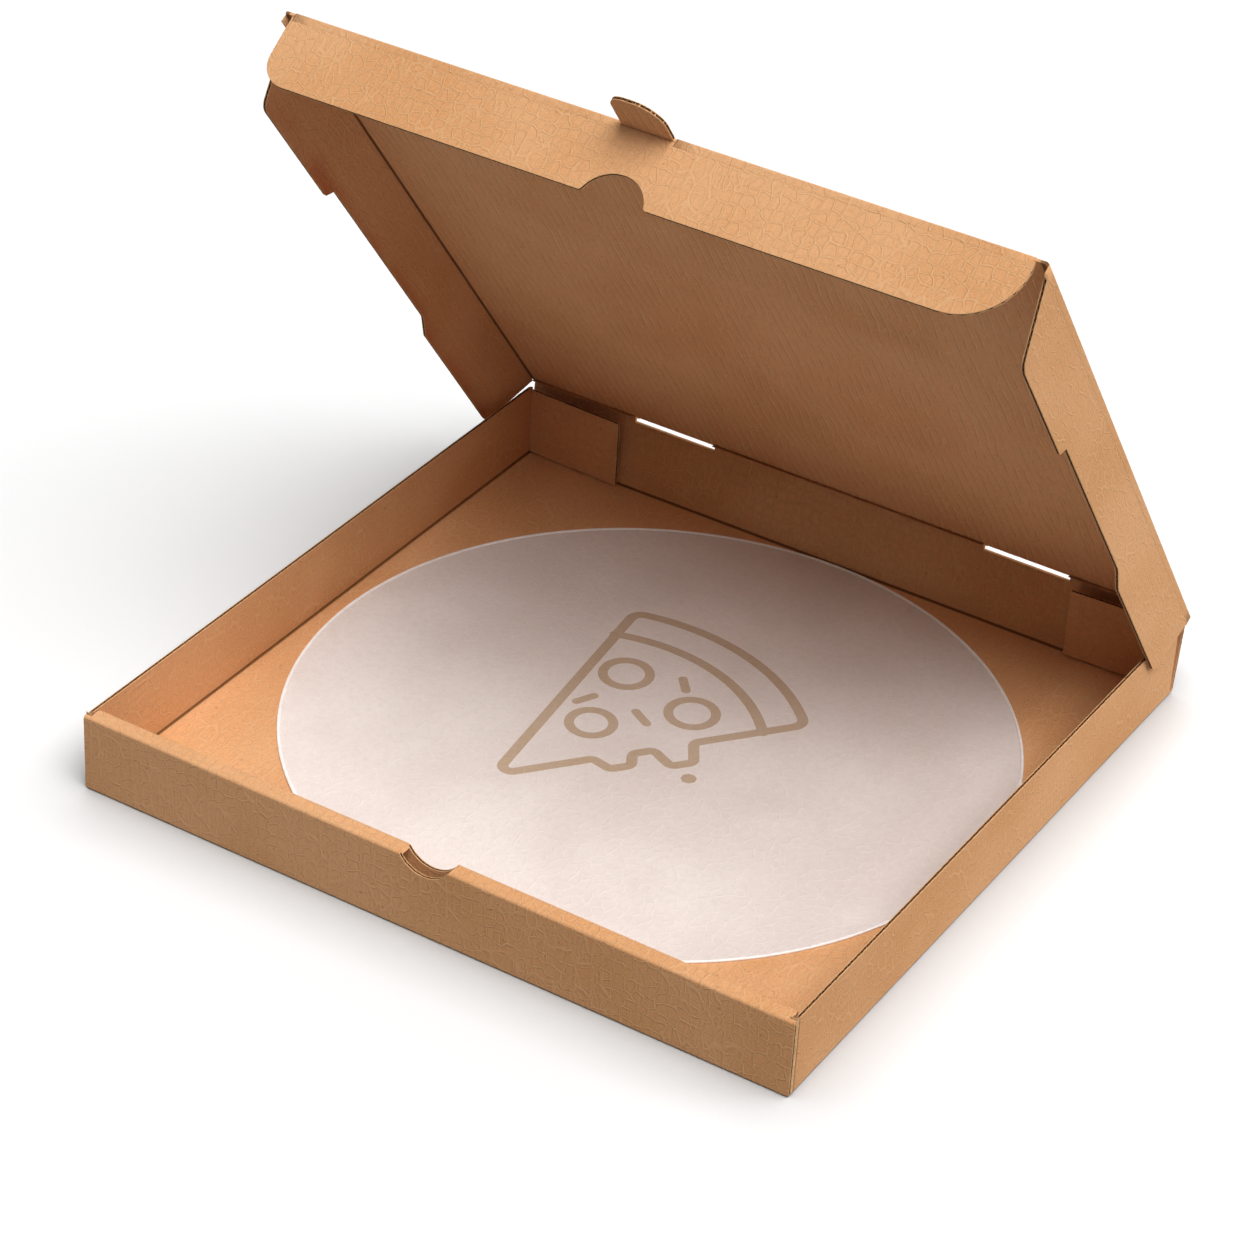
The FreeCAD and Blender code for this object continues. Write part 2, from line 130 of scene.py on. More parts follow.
def number(tree, operation, first, second=0.0, third=0.0):
    return add(tree, "ShaderNodeMath", {0: first, 1: second, 2: third}, operation=operation).outputs[0]


def fade(tree, item, start, end, low=0.0, high=1.0):
    """A value turned smoothly from one range into another."""
    node = add(tree, "ShaderNodeMapRange", {0: item, 1: start, 2: end, 3: low, 4: high},
               interpolation_type="SMOOTHSTEP")
    return node.outputs[0]


def tint(tree, share, first, second):
    return add(tree, "ShaderNodeMix", {0: share, 6: first, 7: second}, data_type="RGBA").outputs[2]


def board_coordinates(tree, across, along, folded):
    """Object coordinates laid flat on the sheet: across the flutes and along them."""
    spot = add(tree, "ShaderNodeTexCoord").outputs["Object"]
    x = add(tree, "ShaderNodeVectorMath", {0: spot, 1: across}, operation="DOT_PRODUCT").outputs["Value"]
    y = add(tree, "ShaderNodeVectorMath", {0: spot, 1: along}, operation="DOT_PRODUCT").outputs["Value"]
    ridge_axis = x
    if folded:
        # on the tray's walls the sheet turns up, and the side walls' ridges run level
        facing = add(tree, "ShaderNodeNewGeometry").outputs["True Normal"]
        local = add(tree, "ShaderNodeVectorTransform", {0: facing}, vector_type="NORMAL",
                    convert_from="WORLD", convert_to="OBJECT").outputs[0]
        turned = add(tree, "ShaderNodeSeparateXYZ", {0: local}).outputs
        sideways = number(tree, "GREATER_THAN", number(tree, "ABSOLUTE", turned["X"]), 0.7)
        level = number(tree, "GREATER_THAN", number(tree, "ABSOLUTE", turned["Z"]), 0.7)
        height = add(tree, "ShaderNodeSeparateXYZ", {0: spot}).outputs["Z"]
        ridge_axis = add(tree, "ShaderNodeMix", {0: sideways, 2: x, 3: height}, data_type="FLOAT").outputs[0]
        x = add(tree, "ShaderNodeMix", {0: sideways, 2: x, 3: y}, data_type="FLOAT").outputs[0]
        y = add(tree, "ShaderNodeMix", {0: level, 2: height, 3: y}, data_type="FLOAT").outputs[0]
    sheet = add(tree, "ShaderNodeCombineXYZ", {0: x, 1: y}).outputs[0]
    return spot, ridge_axis, sheet


def kraft_board(name, across, along, ridges=0.2, wall=False, stain_and_painted_shade=None):
    """Unbleached kraft corrugated board: matt, fibrous, creased like leather, with faint flute ridges.

    The eye gets a warm light brown with no shine; each raised line and ridge crest carries a painted
    highlight, and painted shade lies beside each raised line and along one side of each ridge.
    """
    material, tree = new_material(name)
    spot, x, sheet = board_coordinates(tree, across, along, wall)

    # soft ridges that the flutes press through the liner, drifting a little from side to side
    wander = add(tree, "ShaderNodeTexNoise", {"Vector": spot, "Scale": 26.0, "Detail": 2.0}).outputs["Fac"]
    wander = number(tree, "MULTIPLY", wander, 9.0)
    phase = number(tree, "MULTIPLY_ADD", x, 2 * math.pi / (RIDGE_PITCH * MM), wander)
    breaks = add(tree, "ShaderNodeTexNoise", {"Vector": spot, "Scale": 90.0, "Detail": 1.0}).outputs["Fac"]
    whole = number(tree, "MULTIPLY", fade(tree, breaks, 0.4, 0.54, 0.15, 1.0), ridges)
    crest = number(tree, "MULTIPLY", fade(tree, number(tree, "SINE", phase), 0.6, 1.0), whole)
    # one side of each ridge, which gets a painted shade
    painted_lee_shade = number(tree, "SINE", number(tree, "ADD", phase, 1.1))
    painted_lee_shade = number(tree, "MULTIPLY", fade(tree, painted_lee_shade, 0.65, 1.0), whole)

    # the embossed net: raised welts round cells 5 to 8 mm across, rounded like cobbles
    push = add(tree, "ShaderNodeTexNoise", {"Vector": spot, "Scale": 95.0, "Detail": 2.0, "Roughness": 0.5})
    shift = add(tree, "ShaderNodeVectorMath", {0: push.outputs["Color"], 1: (0.5,) * 3}, operation="SUBTRACT")
    bent = add(tree, "ShaderNodeVectorMath", {0: shift.outputs[0], 1: (0.008,) * 3, 2: sheet},
               operation="MULTIPLY_ADD").outputs[0]
    cobbles = add(tree, "ShaderNodeTexVoronoi", {"Vector": bent, "Scale": 160.0, "Randomness": 0.6},
                  feature="DISTANCE_TO_EDGE", voronoi_dimensions="2D").outputs["Distance"]
    strewn = add(tree, "ShaderNodeTexNoise", {"Vector": spot, "Scale": 38.0, "Detail": 1.0}).outputs["Fac"]
    share = fade(tree, strewn, 0.36, 0.5, 0.6, 1.0)

    # longer wrinkles that wander across the panel between the cobbles
    drift = add(tree, "ShaderNodeMapping", {"Vector": bent, "Rotation": (0.0, 0.0, 0.6),
                                            "Scale": (1.0, 0.45, 1.0)}).outputs[0]
    folds = add(tree, "ShaderNodeTexVoronoi", {"Vector": drift, "Scale": 150.0},
                feature="DISTANCE_TO_EDGE", voronoi_dimensions="2D").outputs["Distance"]
    odd = fade(tree, strewn, 0.44, 0.54, 0.8, 0.0)

    def rim(near, far):
        """Both nets' lines, from their middle out to a distance in cell widths."""
        first = number(tree, "MULTIPLY", fade(tree, cobbles, near, far, 1.0, 0.0), share)
        second = number(tree, "MULTIPLY", fade(tree, folds, near, far * 1.3, 1.0, 0.0), odd)
        return number(tree, "MAXIMUM", first, second)

    welt, flank = rim(0.01, 0.1), rim(0.09, 0.18)

    # pulp: fibres and flecks a millimetre or three long, and slow changes of shade
    fibre = add(tree, "ShaderNodeTexNoise",
                {"Vector": spot, "Scale": 900.0, "Detail": 2.0, "Roughness": 0.65}).outputs["Fac"]
    fleck = add(tree, "ShaderNodeTexNoise", {"Vector": spot, "Scale": 330.0, "Detail": 1.0}).outputs["Fac"]
    cloud = add(tree, "ShaderNodeTexNoise", {"Vector": spot, "Scale": 11.0, "Detail": 2.0}).outputs["Fac"]

    base = tint(tree, fade(tree, cloud, 0.35, 0.68), hex_linear("#DBA475"), hex_linear("#D09664"))
    base = tint(tree, fade(tree, fibre, 0.4, 0.62, 0.0, 0.22), base, hex_linear("#E9C096"))
    base = tint(tree, fade(tree, fleck, 0.7, 0.8, 0.0, 0.35), base, hex_linear("#94602F"))
    # painted shade beside each welt and on one side of each ridge; painted highlight along each welt and
    # ridge crest
    base = tint(tree, number(tree, "MULTIPLY", flank, 0.16), base, hex_linear("#9C602C"))
    base = tint(tree, number(tree, "MULTIPLY", welt, 0.3), base, hex_linear("#F0C799"))
    base = tint(tree, number(tree, "MULTIPLY", painted_lee_shade, 0.16), base, hex_linear("#9C602C"))
    base = tint(tree, number(tree, "MULTIPLY", crest, 0.34), base, hex_linear("#EFC597"))
    # the added colour is a dye wash on the left flap, and painted crease shade on the tray and lid
    if stain_and_painted_shade:
        base = stain_and_painted_shade(tree, base)

    height = number(tree, "MULTIPLY", crest, 0.3)
    height = number(tree, "MULTIPLY_ADD", welt, 0.18, height)
    height = number(tree, "MULTIPLY_ADD", flank, -0.04, height)
    height = number(tree, "MULTIPLY_ADD", fibre, 0.04, height)
    height = number(tree, "MULTIPLY_ADD", cloud, 0.3, height)
    bump = add(tree, "ShaderNodeBump", {"Strength": 1.0, "Distance": MM, "Height": height})
    rough = fade(tree, fibre, 0.3, 0.7, 0.76, 0.9)
    shader = add(tree, "ShaderNodeBsdfPrincipled", {
        "Base Color": base, "Roughness": rough, "IOR": 1.45, "Specular IOR Level": 0.04,
        "Normal": bump.outputs[0]})
    add(tree, "ShaderNodeOutputMaterial", {"Surface": shader.outputs[0]})
    return material


def cut_paper(name, colour, dark, scale):
    """Cut paper edge: rougher and duller than the face of the board."""
    material, tree = new_material(name)
    spot = add(tree, "ShaderNodeTexCoord").outputs["Object"]
    fuzz = add(tree, "ShaderNodeTexNoise", {"Vector": spot, "Scale": scale, "Detail": 3.0}).outputs["Fac"]
    base = tint(tree, fade(tree, fuzz, 0.35, 0.65), hex_linear(dark), hex_linear(colour))
    bump = add(tree, "ShaderNodeBump", {"Strength": 0.6, "Distance": 0.05 * MM, "Height": fuzz})
    shader = add(tree, "ShaderNodeBsdfPrincipled", {
        "Base Color": base, "Roughness": 0.92, "Specular IOR Level": 0.1, "Normal": bump.outputs[0]})
    add(tree, "ShaderNodeOutputMaterial", {"Surface": shader.outputs[0]})
    return material


def greaseproof(name, pale, deep, ink=False):
    """Greaseproof liner paper: smooth, off-white, faintly pebbled; its ink is a thin dull tan."""
    material, tree = new_material(name)
    spot = add(tree, "ShaderNodeTexCoord").outputs["Object"]
    cloud = add(tree, "ShaderNodeTexNoise", {"Vector": spot, "Scale": 9.0, "Detail": 3.0}).outputs["Fac"]
    pulp = add(tree, "ShaderNodeTexNoise", {"Vector": spot, "Scale": 260.0, "Detail": 4.0, "Roughness": 0.7})
    push = add(tree, "ShaderNodeTexNoise", {"Vector": spot, "Scale": 140.0, "Detail": 2.0})
    bent = add(tree, "ShaderNodeVectorMath", {0: push.outputs["Color"], 1: (0.006,) * 3, 2: spot},
               operation="MULTIPLY_ADD").outputs[0]
    cells = add(tree, "ShaderNodeTexVoronoi", {"Vector": bent, "Scale": 155.0},
                feature="DISTANCE_TO_EDGE", voronoi_dimensions="2D")
    net = fade(tree, cells.outputs["Distance"], 0.0, 0.11, 1.0, 0.0)
    base = tint(tree, fade(tree, cloud, 0.35, 0.65), hex_linear(pale), hex_linear(deep))
    base = tint(tree, fade(tree, pulp.outputs["Fac"], 0.42, 0.66, 0.0, 0.16), base, hex_linear("#C7B8AC"))
    base = tint(tree, number(tree, "MULTIPLY", net, 0.05 if ink else 0.2), base, hex_linear("#F2ECE8"))
    height = number(tree, "MULTIPLY_ADD", net, 0.12, number(tree, "MULTIPLY", pulp.outputs["Fac"], 0.05))
    bump = add(tree, "ShaderNodeBump", {"Strength": 1.0, "Distance": MM, "Height": height})
    shader = add(tree, "ShaderNodeBsdfPrincipled", {
        "Base Color": base, "Roughness": 0.62 if not ink else 0.7, "IOR": 1.48, "Specular IOR Level": 0.35,
        "Normal": bump.outputs[0]})
    add(tree, "ShaderNodeOutputMaterial", {"Surface": shader.outputs[0]})
    return material


def painted_crease_shade_tray(tree, base):
    """Painted shade on the tray: darker in the groove at each front corner and along the foot of the walls
    inside.
    """
    parts = add(tree, "ShaderNodeSeparateXYZ", {0: add(tree, "ShaderNodeTexCoord").outputs["Object"]}).outputs
    side = number(tree, "ABSOLUTE", parts["X"])
    # painted shade on the side walls' rounded front ends, in the groove behind the front wall's ends
    out = fade(tree, side, (TRAY_HALF_WIDTH - 3.6) * MM, (TRAY_HALF_WIDTH - 3.2) * MM)
    fold = (-TRAY_HALF_DEPTH + BOARD) * MM
    near = number(tree, "GREATER_THAN", parts["Y"], fold + 0.1 * MM)
    far = fade(tree, parts["Y"], fold + 1.9 * MM, fold + 4.2 * MM, 0.8, 0.0)
    share = number(tree, "MULTIPLY", number(tree, "MULTIPLY", out, near), far)

    # painted shade: a narrow dark line where each wall's inner face meets the floor
    beside, inside = 0.0, number(tree, "GREATER_THAN", parts["Z"], BOARD / 2 * MM)
    for value, wall, sign in ((parts["Y"], -TRAY_HALF_DEPTH + BAND, -1),
                              (parts["Y"], TRAY_HALF_DEPTH - BOARD, 1), (side, TRAY_HALF_WIDTH - BOARD, 1)):
        near_wall = fade(tree, value, (wall - sign * CREASE_SHADE_WIDTH) * MM, (wall - sign * CREASE_SHADE_EDGE) * MM)
        beside = number(tree, "MAXIMUM", near_wall, beside)
        side_of_wall = "LESS_THAN" if sign > 0 else "GREATER_THAN"
        within = number(tree, side_of_wall, value, (wall + sign * 0.6) * MM)
        inside = number(tree, "MULTIPLY", within, inside)
    foot = fade(tree, parts["Z"], (BOARD + 0.5) * MM, (BOARD + 1.3) * MM, 0.8, 0.0)
    painted_foot_shade = number(tree, "MULTIPLY", number(tree, "MULTIPLY", beside, inside), foot)
    share = number(tree, "MAXIMUM", share, painted_foot_shade)
    return tint(tree, share, base, hex_linear("#5E3716"))


def painted_crease_shade_lid(tree, base):
    """Painted shade on the lid, dark along the folds where its side flaps turn down."""
    spot = add(tree, "ShaderNodeTexCoord").outputs["Object"]
    across = number(tree, "ABSOLUTE", add(tree, "ShaderNodeSeparateXYZ", {0: spot}).outputs["X"])
    share = fade(tree, across, (LID_HALF - SKIN - 1.8) * MM, (LID_HALF - SKIN - 0.8) * MM, 0.0, 0.8)
    return tint(tree, share, base, hex_linear("#5E3716"))


def red_edge(tree, base):
    """A reddish wash along the left flap's lower edge, as from a dye bar on the die cutter."""
    spot = add(tree, "ShaderNodeTexCoord").outputs["Object"]
    down = LEFT_FLAP.col[0].xyz
    start = LEFT_FLAP.translation.dot(down)
    depth = add(tree, "ShaderNodeVectorMath", {0: spot, 1: down}, operation="DOT_PRODUCT").outputs["Value"]
    band = fade(tree, number(tree, "SUBTRACT", depth, start), 0.026, 0.041, 0.0, 0.75)
    patch = add(tree, "ShaderNodeTexNoise", {"Vector": spot, "Scale": 14.0, "Detail": 2.0}).outputs["Fac"]
    share = number(tree, "MULTIPLY", band, fade(tree, patch, 0.38, 0.6, 0.25, 1.0))
    return tint(tree, share, base, hex_linear("#B5552F"))


lid_across, lid_along = (1.0, 0.0, 0.0), tuple(LID_PANEL.col[1].xyz)
kraft = {
    "tray": kraft_board("kraft_board_tray", (1, 0, 0), (0, 1, 0), wall=True, stain_and_painted_shade=painted_crease_shade_tray),
    "rear_left_flap": kraft_board("kraft_board_rear_flaps", (0, 0, 1), (1, 0, 0)),
    "lid": kraft_board("kraft_board_lid", lid_across, lid_along, ridges=1.3, stain_and_painted_shade=painted_crease_shade_lid),
    "lid_front_flap": kraft_board("kraft_board_front_flap", lid_across, tuple(FRONT_FLAP.col[1].xyz)),
    "lid_left_flap": kraft_board("kraft_board_left_flap", tuple(LEFT_FLAP.col[0].xyz),
                                 tuple(LEFT_FLAP.col[1].xyz), stain_and_painted_shade=red_edge),
    "lid_right_flap": kraft_board("kraft_board_right_flap", tuple(RIGHT_FLAP.col[0].xyz),
                                  tuple(RIGHT_FLAP.col[1].xyz)),
}
kraft["rear_right_flap"] = kraft["rear_left_flap"]
paper = greaseproof("greaseproof_paper", "#E6DCD7", "#DCD0CA")
ink = greaseproof("tan_ink_on_greaseproof", "#C0A78F", "#B69C82", ink=True)
# near-white paper for the liner's rim bead: a painted highlight
bead = greaseproof("paper_rim_painted_highlight", "#FBF8F6", "#F3EDEA")
liner_edge = cut_paper("cut_kraft_liner", "#E3BC8E", "#CFA274", 700.0)
flute_edge = cut_paper("cut_fluting_medium", "#B37C4E", "#8F5D38", 800.0)
# painted shade: a dark colour for the shadowed hollows between the liners of a cut edge
painted_hollow_shade = cut_paper("shadowed_flute_hollow", "#4A2A14", "#33190A", 500.0)

for node_name, material in {**kraft, "liner_disc": paper}.items():
    piece = frame["nodes"][node_name]
    piece.data.materials.clear()
    piece.data.materials.append(material)


# ---- cut edges: two liners with the wavy medium between them ----
def edge_tree():
    """Geometry Nodes that follow a path on a panel's cut edge and build liner, flute and liner there."""
    tree = bpy.data.node_groups.new("cut_board_edge", "GeometryNodeTree")
    for name, kind in (("Path", "Geometry"), ("Board", "Float"), ("Liner", "Float"), ("Proud", "Float"),
                       ("Flute pitch", "Float"), ("Wave by length", "Float"), ("Step", "Float"),
                       ("Liner finish", "Material"), ("Flute finish", "Material"),
                       ("Hollow painted shade", "Material")):
        tree.interface.new_socket(name, in_out="INPUT", socket_type=f"NodeSocket{kind}")
    tree.interface.new_socket("Edge", in_out="OUTPUT", socket_type="NodeSocketGeometry")
    given = add(tree, "NodeGroupInput").outputs

    line = add(tree, "GeometryNodeMeshToCurve", {0: given["Path"]}).outputs[0]
    line = add(tree, "GeometryNodeResampleCurve", {0: line, "Length": given["Step"]}, mode="LENGTH")
    line = add(tree, "GeometryNodeSetCurveNormal", {0: line.outputs[0]}, mode="Z_UP").outputs[0]

    def strip(path, width, thick, lift, finish):
        """A rectangular rib along a path; lift moves it off the middle of the board."""
        shape = add(tree, "GeometryNodeCurvePrimitiveQuadrilateral", {"Width": width, "Height": thick})
        place = add(tree, "ShaderNodeCombineXYZ", {1: lift}).outputs[0]
        shape = add(tree, "GeometryNodeTransform", {0: shape.outputs[0], "Translation": place}).outputs[0]
        mesh = add(tree, "GeometryNodeCurveToMesh", {0: path, 1: shape, "Fill Caps": True}).outputs[0]
        return add(tree, "GeometryNodeSetMaterial", {0: mesh, "Material": finish}).outputs[0]

    proud = number(tree, "MULTIPLY", given["Proud"], 2.0)
    lift = number(tree, "MULTIPLY", number(tree, "SUBTRACT", given["Board"], given["Liner"]), 0.47)
    opening = number(tree, "SUBTRACT", given["Board"], number(tree, "MULTIPLY", given["Liner"], 2.0))
    thin = number(tree, "MULTIPLY", given["Liner"], 0.7)
    parts = [
        strip(line, proud, given["Liner"], lift, given["Liner finish"]),
        strip(line, proud, given["Liner"], number(tree, "MULTIPLY", lift, -1.0), given["Liner finish"]),
        # a dark strip set back between the liners, painted shade in the flute hollows
        strip(line, number(tree, "MULTIPLY", proud, 0.3), opening, 0.0, given["Hollow painted shade"]),
    ]
    spot = add(tree, "GeometryNodeInputPosition").outputs[0]
    across = add(tree, "ShaderNodeSeparateXYZ", {0: spot}).outputs["X"]
    length = add(tree, "GeometryNodeSplineParameter").outputs["Length"]
    where = add(tree, "ShaderNodeMix", {0: given["Wave by length"], 2: across, 3: length},
                data_type="FLOAT")
    turn = number(tree, "MULTIPLY", where.outputs[0], 2 * math.pi)
    turn = number(tree, "DIVIDE", turn, given["Flute pitch"])
    reach = number(tree, "MULTIPLY", opening, 0.42)
    swing = number(tree, "MULTIPLY", number(tree, "SINE", turn), reach)
    offset = add(tree, "ShaderNodeCombineXYZ", {2: swing}).outputs[0]
    wave = add(tree, "GeometryNodeSetPosition", {0: line, "Offset": offset}).outputs[0]
    parts.append(strip(wave, number(tree, "MULTIPLY", proud, 0.8), thin, 0.0, given["Flute finish"]))

    joined = add(tree, "GeometryNodeJoinGeometry")
    for part in parts:
        tree.links.new(part, joined.inputs[0])
    whole = add(tree, "GeometryNodeRealizeInstances", {0: joined.outputs[0]}).outputs[0]
    add(tree, "NodeGroupOutput", {0: whole})
    return tree


def grow(piece, tree, values):
    """Run a Geometry Nodes tree on a piece and keep its result as the piece's plain mesh."""
    modifier = piece.modifiers.new("grow", "NODES")
    modifier.node_group = tree
    sockets = {item.name: item.identifier for item in tree.interface.items_tree if item.in_out == "INPUT"}
    for name, item in values.items():
        modifier[sockets[name]] = item
    ready = piece.evaluated_get(bpy.context.evaluated_depsgraph_get())
    mesh = bpy.data.meshes.new_from_object(ready)
    piece.modifiers.clear()
    piece.data = mesh


def new_piece(name, mesh):
    piece = bpy.data.objects.new(name, mesh)
    bpy.context.scene.collection.objects.link(piece)
    return piece


def ring_faces(shape, rows):
    """Faces between rows of points that each go round one section, with both ends closed."""
    for first, second in zip(rows, rows[1:]):
        for i in range(len(first)):
            j = (i + 1) % len(first)
            shape.faces.new((first[i], first[j], second[j], second[i]))
    for row in (rows[0], rows[-1]):
        for i in range(len(row) // 2 - 1):
            shape.faces.new((row[i], row[i + 1], row[-2 - i], row[-1 - i]))


def finished(name, shape, finish, smooth):
    """A closed shape as a piece of one material, its faces turned outward."""
    bmesh.ops.recalc_face_normals(shape, faces=shape.faces)
    for face in shape.faces:
        face.smooth = smooth
    mesh = bpy.data.meshes.new(name)
    shape.to_mesh(mesh)
    shape.free()
    mesh.materials.append(finish)
    return new_piece(name, mesh)


def path_mesh(name, paths):
    """Open paths in millimetres, as a mesh of edges."""
    mesh = bpy.data.meshes.new(name)
    points, edges = [], []
    for path in paths:
        first = len(points)
        points += [(x * MM, y * MM, 0.0) for x, y in path]
        edges += [(first + i, first + i + 1) for i in range(len(path) - 1)]
    mesh.from_pydata(points, edges, [])
    return mesh


EDGE = edge_tree()


def cut_edge(name, body, groups):
    """The cut edges of one body's panels: groups of (panel matrix, paths, wave follows the path)."""
    whole = bmesh.new()
    finishes = [liner_edge, flute_edge, painted_hollow_shade]
    for index, (place, paths, by_length) in enumerate(groups):
        part = new_piece(f"{name}_{index}", path_mesh(f"{name}_{index}", paths))
        grow(part, EDGE, {
            "Board": BOARD * MM, "Liner": 0.34 * MM, "Proud": 0.16 * MM, "Flute pitch": FLUTE_PITCH * MM,
            "Wave by length": float(by_length), "Step": 0.62 * MM, "Liner finish": liner_edge,
            "Flute finish": flute_edge, "Hollow painted shade": painted_hollow_shade})
        own = [finishes.index(material) for material in part.data.materials]
        part.data.transform(place)
        before = len(whole.faces)
        whole.from_mesh(part.data)
        whole.faces.ensure_lookup_table()
        for face in whole.faces[before:]:
            face.material_index = own[face.material_index]
        bpy.data.objects.remove(part)
    bmesh.ops.recalc_face_normals(whole, faces=whole.faces)
    mesh = bpy.data.meshes.new(name)
    whole.to_mesh(mesh)
    whole.free()
    for material in finishes:
        mesh.materials.append(material)
    piece = new_piece(name, mesh)
    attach(piece, body)


def arc(centre, radius, start, end, count=12):
    """Points of an arc, in degrees."""
    turns = [math.radians(start + (end - start) * i / count) for i in range(count + 1)]
    return [(centre[0] + radius * math.cos(t), centre[1] + radius * math.sin(t)) for t in turns]


def rounded(points, radii):
    """A path with its inner corners rounded."""
    path = [points[0]]
    for i in range(1, len(points) - 1):
        here = Vector(points[i])
        before = (Vector(points[i - 1]) - here).normalized()
        after = (Vector(points[i + 1]) - here).normalized()
        radius = radii.get(i, 0.0)
        if radius <= 0:
            path.append(points[i])
            continue
        half = before.angle(after) / 2
        reach = radius / math.tan(half)
        centre = here + (before + after).normalized() * radius / math.sin(half)
        first, last = here + before * reach - centre, here + after * reach - centre
        swing = first.angle_signed(last)
        for step in range(9):
            spin = Matrix.Rotation(-swing * step / 8, 2)
            path.append(tuple(centre + spin @ first))
    path.append(points[-1])
    return path


thumb_radius = (THUMB_WIDTH ** 2 / 4 + THUMB_DEPTH ** 2) / (2 * THUMB_DEPTH)
thumb_centre = FRONT_FLAP_DEPTH - THUMB_DEPTH + thumb_radius
thumb_turn = math.degrees(math.asin(THUMB_WIDTH / 2 / thumb_radius))
if THUMB_DEPTH > thumb_radius:
    thumb_turn = 180 - thumb_turn
notch_arc = arc((0, thumb_centre), thumb_radius, -90 - thumb_turn, -90 + thumb_turn, 24)
front_corners = [(-FRONT_FLAP_HALF, 3.0), (-FRONT_FLAP_HALF, FRONT_FLAP_DEPTH), *notch_arc,
                 (FRONT_FLAP_HALF, FRONT_FLAP_DEPTH), (FRONT_FLAP_HALF, 3.0)]
front_outline = rounded(front_corners, {1: FRONT_FLAP_LEFT, 2: LIP_RADIUS * 0.6,
                                        len(front_corners) - 3: LIP_RADIUS * 0.6,
                                        len(front_corners) - 2: FRONT_FLAP_RIGHT})
cut_edge("front_flap_cut_edge", "lid_front_flap", [(FRONT_FLAP, [front_outline], False)])

side_outline = rounded([
    (1.5, 1.5), (SIDE_FLAP_DEPTH, 17.0), (SIDE_FLAP_DEPTH, RECESS_REAR - RECESS_RAMP),
    (SIDE_FLAP_DEPTH - RECESS_DEPTH, RECESS_REAR), (SIDE_FLAP_DEPTH - RECESS_DEPTH, RECESS_FRONT),
    (SIDE_FLAP_DEPTH, RECESS_FRONT + RECESS_STEP), (SIDE_FLAP_DEPTH, LID_REACH - 32.0),
    (1.5, LID_REACH - 6.0),
], {1: 5.0, 2: 6.0, 3: 6.0, 6: 10.0})
cut_edge("right_flap_cut_edge", "lid_right_flap", [(RIGHT_FLAP, [side_outline], True)])
cut_edge("left_flap_cut_edge", "lid_left_flap", [(LEFT_FLAP, [side_outline], True)])

tab_tip = LID_REACH + SKIN + TAB_LENGTH
tab_outline = rounded([(-TAB_WIDTH / 2, LID_REACH + 2.0), (-TAB_WIDTH / 2, tab_tip), (TAB_WIDTH / 2, tab_tip),
                       (TAB_WIDTH / 2, LID_REACH + 2.0)], {1: TAB_LEFT, 2: TAB_RIGHT})
cut_edge("pull_tab_cut_edge", "lid", [(LID_PANEL, [tab_outline], False)])

# the side walls' raw tops end where the leaning back wall starts
wall_rear = 207.9
tray_edges = []
for sign in (1, -1):
    top = axes((sign * (TRAY_HALF_WIDTH - SKIN), 0, WALL_HEIGHT), (0, 1, 0), (0, 0, 1))
    tray_edges.append((top, [[(-TRAY_HALF_DEPTH + BOARD + SEAM + 3.0, 0), (wall_rear - 3.0, 0)]], True))
    front = axes((sign * TRAY_HALF_WIDTH, -TRAY_HALF_DEPTH + SKIN, 0), (0, 0, 1), (1, 0, 0))
    tray_edges.append((front, [[(2.0, 0), (WALL_HEIGHT - 2.0, 0)]], True))
lean = math.radians(BACK_LEAN)
hinge_y, hinge_z = hinge.y / MM, hinge.z / MM
down_back = (0, -math.sin(lean), -math.cos(lean))
for sign in (1, -1):
    back = axes((sign * TRAY_HALF_WIDTH, hinge_y, hinge_z), down_back, (1, 0, 0))
    tray_edges.append((back, [[(1.5, 0), (hinge_z - 2.5, 0)]], True))
notch_radius = (NOTCH_WIDTH ** 2 / 4 + NOTCH_DROP ** 2) / (2 * NOTCH_DROP)
notch_middle = WALL_HEIGHT - NOTCH_DROP + notch_radius
notch_turn = math.degrees(math.asin((NOTCH_WIDTH / 2) / notch_radius))
notch_rim = arc((0, notch_middle), notch_radius, -90 - notch_turn + 4, -90 + notch_turn - 4, 24)
for layer in (-TRAY_HALF_DEPTH + SKIN, -TRAY_HALF_DEPTH + BAND - SKIN):
    tray_edges.append((axes((0, layer, 0), (1, 0, 0), (0, 0, 1)), [notch_rim], True))
cut_edge("tray_cut_edges", "tray", tray_edges)


def corner_lip(name, sign):
    """The liner's torn lip that curls out of the seam at the end of the front wall."""
    seam = -TRAY_HALF_DEPTH + BOARD + SEAM / 2
    # the lip in plan: out past the wall's end, and back as it curls
    curve = [(-2.6, 0.0), (-1.0, 0.0), (-0.3, 0.12), (0.2, 0.5), (0.42, 1.05)]
    half_thick, top_curl = 0.14, 1.5
    shape = bmesh.new()
    rows = []
    for level in (1.6, WALL_HEIGHT - 6.0, WALL_HEIGHT - 1.5, WALL_HEIGHT + 1.4):
        curl = top_curl if level > WALL_HEIGHT else 1.0
        ring = [(x * curl, y - half_thick) for x, y in curve]
        ring += [(x * curl, y + half_thick) for x, y in reversed(curve)]
        rows.append([shape.verts.new(Vector((sign * (TRAY_HALF_WIDTH + x), seam + y, level)) * MM)
                     for x, y in ring])
    ring_faces(shape, rows)
    piece = finished(name, shape, liner_edge, smooth=False)
    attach(piece, "tray")


corner_lip("front_left_corner_lip", -1)
corner_lip("front_right_corner_lip", 1)

